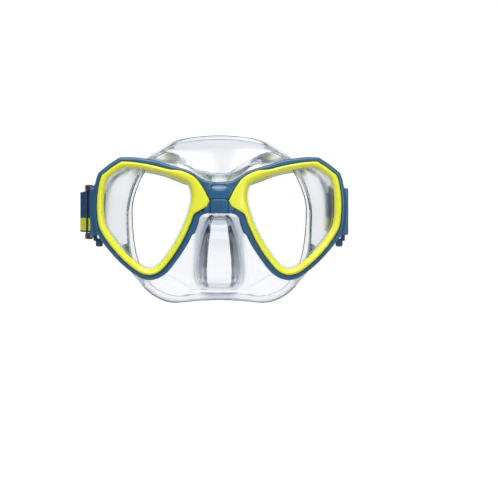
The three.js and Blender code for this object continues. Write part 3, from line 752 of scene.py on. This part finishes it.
# ------------------------------------------------------------------ bridge plate
def make_plate():
    pts = spline([(0, 8.3), (3.6, 8.3), (5.2, 7.9), (5.6, 6.6), (5.6, 1.0), (5.1, -0.4), (3.6, -0.8), (0, -0.8)], 5)
    P = np.concatenate([pts, pts[1:-1][::-1] * np.array([-1, 1])])
    ob = prism("bridge_cover", P, [(0.9, -3.52), (0.45, -3.44), (0.12, -3.2), (0, -2.8), (0, -1.9), (0.3, -1.5)])
    co = coords(ob)
    co[:, 1] += 0.72 / 1000
    set_coords(ob, co)
    return smooth(ob, 35)


pl = make_plate()
dress(pl, blue_parts)
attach(pl, "mask"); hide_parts("bridge_plate")

# ------------------------------------------------------------------ skirt
plate_r, rim_r, rim_d, face_r = polar(PLATE_EDGE), polar(RIM), polar(RIM, 2), polar(FACE_EDGE)
SK_P, SK_T = 11.3, 2.0


def make_skirt():
    a = np.arange(0, 360, 1.5)
    F, R, D = plate_r(a), rim_r(a), rim_d(a)
    O = np.minimum(face_r(a), R - 4)
    P, T = SK_P, SK_T
    mid, mid_y = F + (R - F) * 0.42 + 2.0, P + (D - P) * 0.45
    prof = [
        (F - 9, P + 0 * F), (F - 1.2, P + 0 * F), (F - 0.25, P + 0.4 + 0 * F), (F, P + 1.4 + 0 * F),
        ((F + mid) / 2 + 1.0, (P + mid_y) / 2), (mid, mid_y), ((mid + R) / 2 + 1.0, (mid_y + D) / 2 - 0.8),
        (R - 0.2, D - 3.5), (R, D - 1.6), (R - 0.5, D - 0.4), (R - 1.5, D),
        ((R + O) / 2, D - 0.5), (O + 1, D - 1.9), (O, D - 2.6), (O + 0.6, D - 3.5), ((R + O) / 2, D - 2.3),
        (R - 3.2, D - 3.6), (R - 2.6, D - 5.4), ((mid + R) / 2 - 1.1, (mid_y + D) / 2 - 0.8), (mid - T, mid_y - 0.3),
        ((F + mid) / 2 - 1.3, (P + mid_y) / 2 + 0.3), (F - T - 0.4, P + T + 0.9), (F - T - 1.6, P + T), (F - 9, P + T + 0 * F),
    ]
    c, s = np.cos(np.radians(a)), np.sin(np.radians(a))
    rings = [np.stack([r * c, y * np.ones_like(r), POLE_Z + r * s], -1) for r, y in prof]
    body = sweep(loft("skirt_silicone", rings), True)
    half = spline(PLATE_EDGE, 4)
    full = np.concatenate([half, half[1:-1][::-1] * np.array([-1, 1])])
    full = np.stack([full[:, 0] * 0.97, POLE_Z + (full[:, 1] - POLE_Z) * 0.97], -1)
    plate = prism("front_plate", full, [(0, P), (0, P + T)])
    bm = bmesh.new()
    bm.from_mesh(plate.data)
    for x in np.arange(-12, 12.1, 1.5):
        bmesh.ops.bisect_plane(bm, geom=bm.verts[:] + bm.edges[:] + bm.faces[:], plane_co=(x / 1000, 0, 0), plane_no=(1, 0, 0))
    bm.to_mesh(plate.data)
    bm.free()
    boolean(body, sweep(plate, True), "UNION")
    boolean(body, sweep(nose_solid("nose", 0.0, P, P + T), True), "UNION")
    ang = np.arange(0, 360, 2.0)
    for k in (1, -1):
        m = np.array([k, 1])
        boolean(body, sweep(prism("collar", at(ang, np.minimum(bezel_edge(ang) - 1.1, opening(ang) + 4.7)) * m, [(0, 3.7), (0, P + T)]), True), "UNION")
    boolean(body, sweep(nose_solid("nose_in", 1.9, P + T + 0.15, P + T + 4), True), "DIFFERENCE")
    for k in (1, -1):
        m = np.array([k, 1])
        boolean(body, sweep(prism("pocket", at(ang, opening(ang) + 1.8) * m, [(0, 0), (0, 7.1)]), True), "DIFFERENCE")
        boolean(body, sweep(prism("window", at(ang, opening(ang) - 0.8) * m, [(0, 0), (0, P + T + 0.7)]), True), "DIFFERENCE")
    return smooth(body, 38)


_NZ = np.array([-51.5, -50.5, -48, -44, -38, -28, -18, -10, -4, -2.4, -1.2])
_NH = np.array([0, 5, 12.5, 17, 18.6, 18, 15, 11, 7.4, 5.5, 0.0])
_NW_Z = np.array([-51.5, -48, -40, -30, -22, -14, -10, -6, -3, -1.2])
_NW = np.array([15, 17.4, 18.2, 17.4, 16.0, 14.6, 13.4, 12.2, 10.8, 8.8])


_GZ = np.arange(-60, 8, 0.25)


def _eased(zk, vk, sigma):
    """The table resampled every 0.25 mm and rounded off with a Gaussian."""
    raw = np.interp(_GZ, zk, vk)
    k = np.arange(-40, 41)
    w = np.exp(-0.5 * (k * 0.25 / sigma) ** 2)
    return np.convolve(np.pad(raw, 40, mode="edge"), w / w.sum(), mode="valid")


_GH, _GW = _eased(_NZ, _NH, 0.8), _eased(_NW_Z, _NW, 1.6)


def nose_bump(x, z, inset):
    zi = z + inset * 0.9 * np.clip((z + 25) / 12, -1, 1)
    H = np.where((zi < -52) | (zi > 0), 0, np.interp(zi, _GZ, _GH))
    W = np.interp(zi, _GZ, _GW) - inset * 1.45
    u = np.abs(x) / W
    f = np.where(u < 0.48, 1.0, 0.5 + 0.5 * np.cos((np.clip(u, 0.48, 1) - 0.48) / 0.52 * np.pi))
    return H * np.where(u >= 1, 0, f)


def nose_solid(name, inset, lift, back):
    xs = np.arange(-20.0, 20.01, 0.5)
    zs = np.arange(-51.6, -0.9, 0.5)
    X, Z = np.meshgrid(xs, zs)
    Hh = nose_bump(X, Z, inset)
    top = np.stack([X, lift - Hh, Z], -1).reshape(-1, 3)
    bot = np.stack([X, np.full_like(X, back), Z], -1).reshape(-1, 3)
    nx, nz = len(xs), len(zs)
    N = nx * nz
    faces = []
    for j in range(nz - 1):
        for i in range(nx - 1):
            p = j * nx + i
            faces.append((p, p + 1, p + nx + 1, p + nx))
            faces.append((N + p, N + p + nx, N + p + nx + 1, N + p + 1))
    for i in range(nx - 1):
        faces.append((i, N + i, N + i + 1, i + 1))
        q = (nz - 1) * nx + i
        faces.append((q, q + 1, N + q + 1, N + q))
    for j in range(nz - 1):
        p = j * nx
        faces.append((p, p + nx, N + p + nx, N + p))
        q = j * nx + nx - 1
        faces.append((q, N + q, N + q + nx, q + nx))
    return fix_normals(new_object(name, np.concatenate([top, bot]), faces))


sk = make_skirt()
dress(sk, silicone)
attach(sk, "mask"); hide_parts("skirt")


# ------------------------------------------------------------------ buckle assemblies
def place(ob, side):
    """From the local axes of the right-hand buckle (x outwards, y backwards, pin at the origin) to its place."""
    f = math.radians(FLARE[side])
    sg = 1 if side == "right" else -1
    co = coords(ob)
    co[:, 1] += FACE_DEPTH / 1000
    x = co[:, 0] * math.cos(f) + co[:, 1] * math.sin(f)
    y = -co[:, 0] * math.sin(f) + co[:, 1] * math.cos(f)
    co[:, 0] = sg * (x + PIN_X / 1000)
    co[:, 1] = y + (PIN_Y - FACE_DEPTH) / 1000
    set_coords(ob, co)
    if sg < 0:
        ob.data.flip_normals()
    return ob


def make_buckle(side):
    base = cylinder("buckle", 0, 0, 2.7, -11.7, 12.0, 48, 0.4)
    for b in (
        block("b", -1.5, 1.5, 1.2, 6, -11.7, 12.0, 0.4),
        block("b", -1.6, 1.6, 4.7, 7.2, -17.4, 17.4, 0.7),
        block("b", -1.6, 1.6, 6.0, POST_U + 1.6, 14.4, 17.4, 0.7),
        block("b", -1.6, 1.6, 6.0, POST_U + 1.6, -17.4, -14.4, 0.7),
        cylinder("b", 0, POST_U, 1.2, -15, 15, 32),
    ):
        boolean(base, b, "UNION")
    boolean(base, cylinder("b", 0, 0, 1.3, -14, 14, 32), "DIFFERENCE")
    soften_mesh(base, 0.28, 4)
    base.name = "buckle_body_" + side
    return smooth(place(base, side))


def make_slider(side):
    a, b = 18.5, 26.5
    m = (a + b) / 2
    base = block("slider", -2.1, 2.1, a, b, 14.4, 18.8, 0.8)
    for q in (
        block("b", -2.1, 2.1, a, b, -18.8, -14.4, 0.8),
        block("b", -2.1, -1.0, a, a + 2.0, -15, 15, 0.4),
        block("b", -2.1, -1.0, b - 2.0, b, -15, 15, 0.4),
        block("b", 1.0, 2.1, m - 1.0, m + 1.0, -15, 15, 0.4),
    ):
        boolean(base, q, "UNION")
    # grip ribs across the centre bar's outer face
    for z in np.arange(-12, 12.1, 2.4):
        boolean(base, block("b", 1.85, 3.0, m - 1.2, m + 1.2, z - 0.3, z + 0.3, 0), "DIFFERENCE")
    soften_mesh(base, 0.22, 3)
    base.name = "slider_body_" + side
    return smooth(place(base, side))


def make_pin(side):
    sg = 1 if side == "right" else -1
    rings = []
    n = 32
    a = np.linspace(0, 2 * np.pi, n, endpoint=False)
    for r, z in [(0.55, -14.8), (0.85, -14.65), (1.0, -14.3), (1.0, 14.6), (0.85, 15.1), (0.55, 15.3)]:
        rings.append(np.stack([sg * PIN_X + r * np.cos(a), PIN_Y + r * np.sin(a), np.full(n, z)], -1))
    ob = loft("hinge_pin_shaft_" + side, rings, closed=False)
    return smooth(ob, 40)


def make_button(side):
    sg = 1 if side == "right" else -1
    def bx(x0, x1, y0, y1, z0, z1, r):
        return block("button", min(sg * x0, sg * x1), max(sg * x0, sg * x1), y0, y1, z0, z1, r)
    base = bx(82.1, 84.7, 21.4, 25.6, -19.5, -9.0, 0.4)
    boolean(base, bx(78.4, 83.2, 21.4, 25.6, -23.4, -17.8, 1.2), "UNION")
    boolean(base, bx(79.3, 80.6, 21.4, 25.6, -20.5, -15.4, 0.4), "UNION")
    for z in (-22.0, -20.8, -19.6):
        boolean(base, bx(79.8, 82.0, 20.9, 21.6, z - 0.25, z + 0.25, 0), "DIFFERENCE")
    soften_mesh(base, 0.25, 3)
    base.name = "release_tab_" + side
    return smooth(base)


def make_spring(side):
    sg = 1 if side == "right" else -1
    x0, y0 = sg * 83.4, 23.5
    turns, n, k = 4.5, 216, 12
    rings = []
    for i in range(n + 1):
        t = i / n
        th = sg * t * turns * 2 * math.pi
        c = np.array([x0 + 0.95 * math.cos(th), y0 + 0.95 * math.sin(th), -8.4 + 5.8 * t])
        u = np.array([math.cos(th), math.sin(th), 0.0])
        b = np.array([0, 0, 1.0])
        q = np.linspace(0, 2 * np.pi, k, endpoint=False)
        rings.append(np.array([c + 0.2 * (math.cos(w) * u + math.sin(w) * b) for w in q]))
    ob = loft("button_coil_" + side, rings, closed=False)
    return smooth(ob, 60)


# ------------------------------------------------------------------ strap
def arm_point(side, u):
    f = math.radians(FLARE[side])
    sg = 1 if side == "right" else -1
    return (sg * (PIN_X + u * math.sin(f)), PIN_Y + u * math.cos(f))


# x, depth, height, lean of the upper edge towards the head in degrees
REAR = [
    (-96.2, 86, 0.6, 2), (-92.6, 96, 3.2, 6), (-89.4, 106, 9.5, 14), (-87.2, 117, 19, 26), (-82, 129, 27, 44),
    (-76, 140, 32.4, 60), (-67.5, 151, 35.2, 71), (-55, 160, 34.6, 76), (-38, 168, 31.2, 77), (-20, 173.5, 24, 77),
    (0, 175.5, 19, 77), (20, 173.5, 24, 77), (38, 168, 31.2, 77), (55, 160, 34.6, 76), (67.5, 151, 35.2, 71),
    (75.5, 141, 32.8, 60), (80.2, 131, 28, 45), (81.3, 121, 20, 28), (80.4, 111, 9.8, 14), (79.4, 101, 3, 5), (78.2, 90, 0.3, 1),
]


def strap_path(side):
    """Centre line with lean from the buckle's arm to just past the middle of the rear."""
    arm = [arm_point(side, u) + (0.0, 0.0) for u in (24, 30, 36, END_U, END_U + 6)]
    rear = REAR[:12] if side == "left" else REAR[:8:-1]
    knots = arm + rear
    ctr = spline([k[:3] for k in knots], 24)
    lean = np.interp(np.arange(len(ctr)) / 24.0, np.arange(len(knots)), [k[3] for k in knots])
    n = (len(knots) - 2) * 24 + 1
    return np.concatenate([ctr[:n], lean[:n, None]], 1)


def make_strap(side):
    """One half of the webbing: round the buckle's post, back through the slider and round to the middle of the rear."""
    sg = 1 if side == "right" else -1
    f = math.radians(FLARE[side])
    out_dir = np.array([sg * math.cos(f), -math.sin(f)])
    u_dir = np.array([sg * math.sin(f), math.cos(f)])
    pin = np.array([sg * PIN_X, PIN_Y])
    pts = []
    # the wrap round the post, from the inner side over the front to the outer side
    rr = 2.2
    for ang in np.linspace(math.radians(-150), math.radians(62), 40):
        # ang 0 points forwards (towards the pin); positive goes outwards
        pts.append(pin + u_dir * (POST_U - rr * math.cos(ang)) + out_dir * (rr * math.sin(ang)))
    pts += [pin + u_dir * 15.2 + out_dir * 0.35, pin + u_dir * 17.5, pin + u_dir * 22]
    flat = np.concatenate([np.array(pts[:40]), spline([tuple(p) for p in pts[39:]], 8)[1:]])
    flat = np.concatenate([flat, np.zeros((len(flat), 2))], 1)
    path = np.concatenate([flat, strap_path(side)])
    seg = np.linalg.norm(np.diff(path[:, :3], axis=0), axis=1)
    path = path[np.concatenate([[True], seg > 1e-4])]
    s = np.concatenate([[0], np.cumsum(np.linalg.norm(np.diff(path[:, :3], axis=0), axis=1))])
    total = s[-1]
    step = np.concatenate([np.arange(0, 16, 0.35), np.arange(16, total - 0.5, 1.5), [total]])
    ctr = np.stack([np.interp(step, s, path[:, k]) for k in range(3)], -1)
    lean = np.radians(np.interp(step, s, path[:, 3]))
    tan = np.gradient(ctr, step, axis=0)
    tan[-1] = (-sg * 1.0, 0, 0)
    tan /= np.linalg.norm(tan, axis=1, keepdims=True)
    # the left half runs clockwise seen from above, the right half the other way
    inner = -sg * np.stack([tan[:, 1], -tan[:, 0], 0 * tan[:, 0]], -1)
    inner /= np.linalg.norm(inner, axis=1, keepdims=True)
    up = -sg * np.cross(inner, tan)
    cl, sl = np.cos(lean)[:, None], np.sin(lean)[:, None]
    wid = up * cl + inner * sl
    nrm = inner * cl - up * sl
    # cross section: 28 mm wide, rounded selvedges, slightly fuller edge cords
    H, T = STRAP_HALF, STRAP_T / 2
    w = np.concatenate([[-H], np.linspace(-H + 0.25, H - 0.25, 29), [H]])
    t_top = np.where(np.abs(w) >= H - 1e-6, 0.12, np.where(np.abs(w) > H - 1.4, T * 1.0, T * 0.92))
    loop2 = [(q, tt) for q, tt in zip(w, t_top)] + [(q, -tt) for q, tt in zip(w[::-1], t_top[::-1])]
    n = len(loop2)
    rings = [np.array([ctr[i] + wid[i] * q + nrm[i] * tt for q, tt in loop2]) for i in range(len(ctr))]
    verts = np.concatenate(rings)
    faces, uvs = [], []
    for j in range(len(rings) - 1):
        for i in range(n):
            a, b = j * n + i, j * n + (i + 1) % n
            faces.append((a, b, b + n, a + n))
            uvs.append([(step[j], loop2[i][0]), (step[j], loop2[(i + 1) % n][0]), (step[j + 1], loop2[(i + 1) % n][0]), (step[j + 1], loop2[i][0])])
    faces.append(tuple(range(n))[::-1])
    uvs.append([(step[0], loop2[i][0]) for i in range(n)][::-1])
    last = (len(rings) - 1) * n
    faces.append(tuple(range(last, last + n)))
    uvs.append([(step[-1], loop2[i][0]) for i in range(n)])
    ob = new_object("strap_webbing_" + side, verts, faces)
    layer = ob.data.uv_layers.new(name="strap")
    flat_uv = [c for face in uvs for c in face]
    if len(layer.data) == len(flat_uv):
        layer.data.foreach_set("uv", np.array(flat_uv, np.float32).ravel())
    bm = bmesh.new()
    bm.from_mesh(ob.data)
    if bm.calc_volume(signed=True) < 0:
        bmesh.ops.reverse_faces(bm, faces=bm.faces)
    bm.to_mesh(ob.data)
    bm.free()
    return smooth(ob, 60)


for side in ("left", "right"):
    bk = make_buckle(side)
    dress(bk, blue_parts)
    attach(bk, "buckle_" + side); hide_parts("buckle_" + side)
    sl = make_slider(side)
    dress(sl, dark)
    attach(sl, "slider_" + side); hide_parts("slider_" + side)
    pn = make_pin(side)
    dress(pn, steel)
    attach(pn, "mask"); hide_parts("hinge_pin_" + side)
    bt = make_button(side)
    dress(bt, blue_parts)
    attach(bt, "button_" + side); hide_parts("release_button_" + side)
    sp = make_spring(side)
    dress(sp, steel)
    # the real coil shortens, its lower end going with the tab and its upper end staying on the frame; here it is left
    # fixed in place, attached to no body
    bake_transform(sp)
    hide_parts("button_spring_" + side)
    st = make_strap(side)
    dress(st, webbing)
    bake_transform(st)
    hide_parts("strap_end_" + side)
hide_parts("strap_band")


# ------------------------------------------------------------------ stage and light
def make_stage():
    """A pale floor that curves up into a pale backdrop far behind."""
    prof = [(-3.0, -0.32), (1.2, -0.32)]
    for k in range(1, 25):
        q = math.radians(90 * k / 24)
        prof.append((1.2 + 1.6 * math.sin(q), 1.28 - 1.6 * math.cos(q)))
    prof.append((2.8, 4.0))
    V, Fc = [], []
    for y, z in prof:
        V += [(-5.0, y, z), (5.0, y, z)]
    for i in range(len(prof) - 1):
        Fc.append((2 * i, 2 * i + 1, 2 * i + 3, 2 * i + 2))
    me = bpy.data.meshes.new("studio_floor")
    me.from_pydata(V, [], Fc)
    ob = bpy.data.objects.new("studio_floor", me)
    scene.collection.objects.link(ob)
    for p in me.polygons:
        p.use_smooth = True
    m = Mat("studio_floor_look")
    nz = noise(m, 3.0)
    c = ramp(m, nz.outputs["Fac"], [(0.3, grey(0.78)), (0.7, grey(0.80))])
    m.link(c.outputs["Color"], m.p.inputs["Base Color"])
    m.set(Roughness=0.9)
    m.p.inputs["Emission Color"].default_value = (1, 1, 1, 1)
    # painted light: the backdrop glows by its own emission in a bright panel straight behind the object, fading at its
    # edges, in place of the lit part of the backdrop
    tc = m.node("ShaderNodeTexCoord")
    sep = m.node("ShaderNodeSeparateXYZ")
    m.link(tc.outputs["Object"], sep.inputs["Vector"])
    ax = m.node("ShaderNodeMath", operation="ABSOLUTE")
    m.link(sep.outputs["X"], ax.inputs[0])
    fx = maprange(m, ax.outputs[0], 0.8, 1.2, 1.0, 0.0)
    fy = maprange(m, sep.outputs["Y"], 0.35, 0.75, 0.0, 1.0)
    fz = maprange(m, sep.outputs["Z"], 0.75, 1.15, 1.0, 0.0)
    m1 = m.node("ShaderNodeMath", operation="MULTIPLY")
    m.link(fx.outputs["Result"], m1.inputs[0])
    m.link(fy.outputs["Result"], m1.inputs[1])
    m2 = m.node("ShaderNodeMath", operation="MULTIPLY")
    m.link(m1.outputs[0], m2.inputs[0])
    m.link(fz.outputs["Result"], m2.inputs[1])
    m3 = m.node("ShaderNodeMath", operation="MULTIPLY")
    m.link(m2.outputs[0], m3.inputs[0])
    m3.inputs[1].default_value = 0.66
    # emission strength of the glowing panel: painted light, not a lamp
    m.link(m3.outputs[0], m.p.inputs["Emission Strength"])
    ob.data.materials.append(m.m)


make_stage()

world = bpy.data.worlds.new("studio")
scene.world = world
world.use_nodes = True
wt = world.node_tree
bg = wt.nodes["Background"]
wtc = wt.nodes.new("ShaderNodeTexCoord")
wsep = wt.nodes.new("ShaderNodeSeparateXYZ")
wr = wt.nodes.new("ShaderNodeValToRGB")
wmr = wt.nodes.new("ShaderNodeMapRange")
wt.links.new(wtc.outputs["Generated"], wsep.inputs["Vector"])
wt.links.new(wsep.outputs["Z"], wmr.inputs["Value"])
wmr.inputs["From Min"].default_value = -1
wmr.inputs["From Max"].default_value = 1
wt.links.new(wmr.outputs["Result"], wr.inputs["Fac"])
el = wr.color_ramp.elements
el[0].position, el[0].color = 0.35, grey(0.08)
el[1].position, el[1].color = 0.9, grey(0.5)
wt.links.new(wr.outputs["Color"], bg.inputs["Color"])
bg.inputs["Strength"].default_value = 0.8


def area(name, loc, target, size, power, colour=(1, 1, 1)):
    d = bpy.data.lights.new(name, "AREA")
    d.shape = "RECTANGLE"
    d.size, d.size_y = size
    d.energy = power
    d.color = colour
    o = bpy.data.objects.new(name, d)
    scene.collection.objects.link(o)
    o.location = loc
    o.rotation_euler = (Vector(target) - Vector(loc)).to_track_quat("-Z", "Y").to_euler()
    return o


area("key", (-0.55, -1.0, 0.75), (0, 0, 0), (0.6, 0.5), 8)
area("fill", (0.75, -1.0, 0.25), (0, 0, 0), (0.4, 0.7), 5)
area("top", (0.0, -0.45, 0.95), (0, 0, 0), (0.6, 0.42), 8)

scene.view_settings.view_transform = "Standard"
scene.view_settings.look = "None"
scene.view_settings.exposure = 0.0
scene.cycles.use_denoising = True
scene.cycles.max_bounces = 16
scene.cycles.transmission_bounces = 14
scene.cycles.transparent_max_bounces = 16
scene.cycles.sample_clamp_indirect = 6.0

for ob in list(bpy.data.objects):
    if ob.type == "MESH" and ob.name.endswith(".001"):
        ob.name = ob.name.replace(".001", "_b")
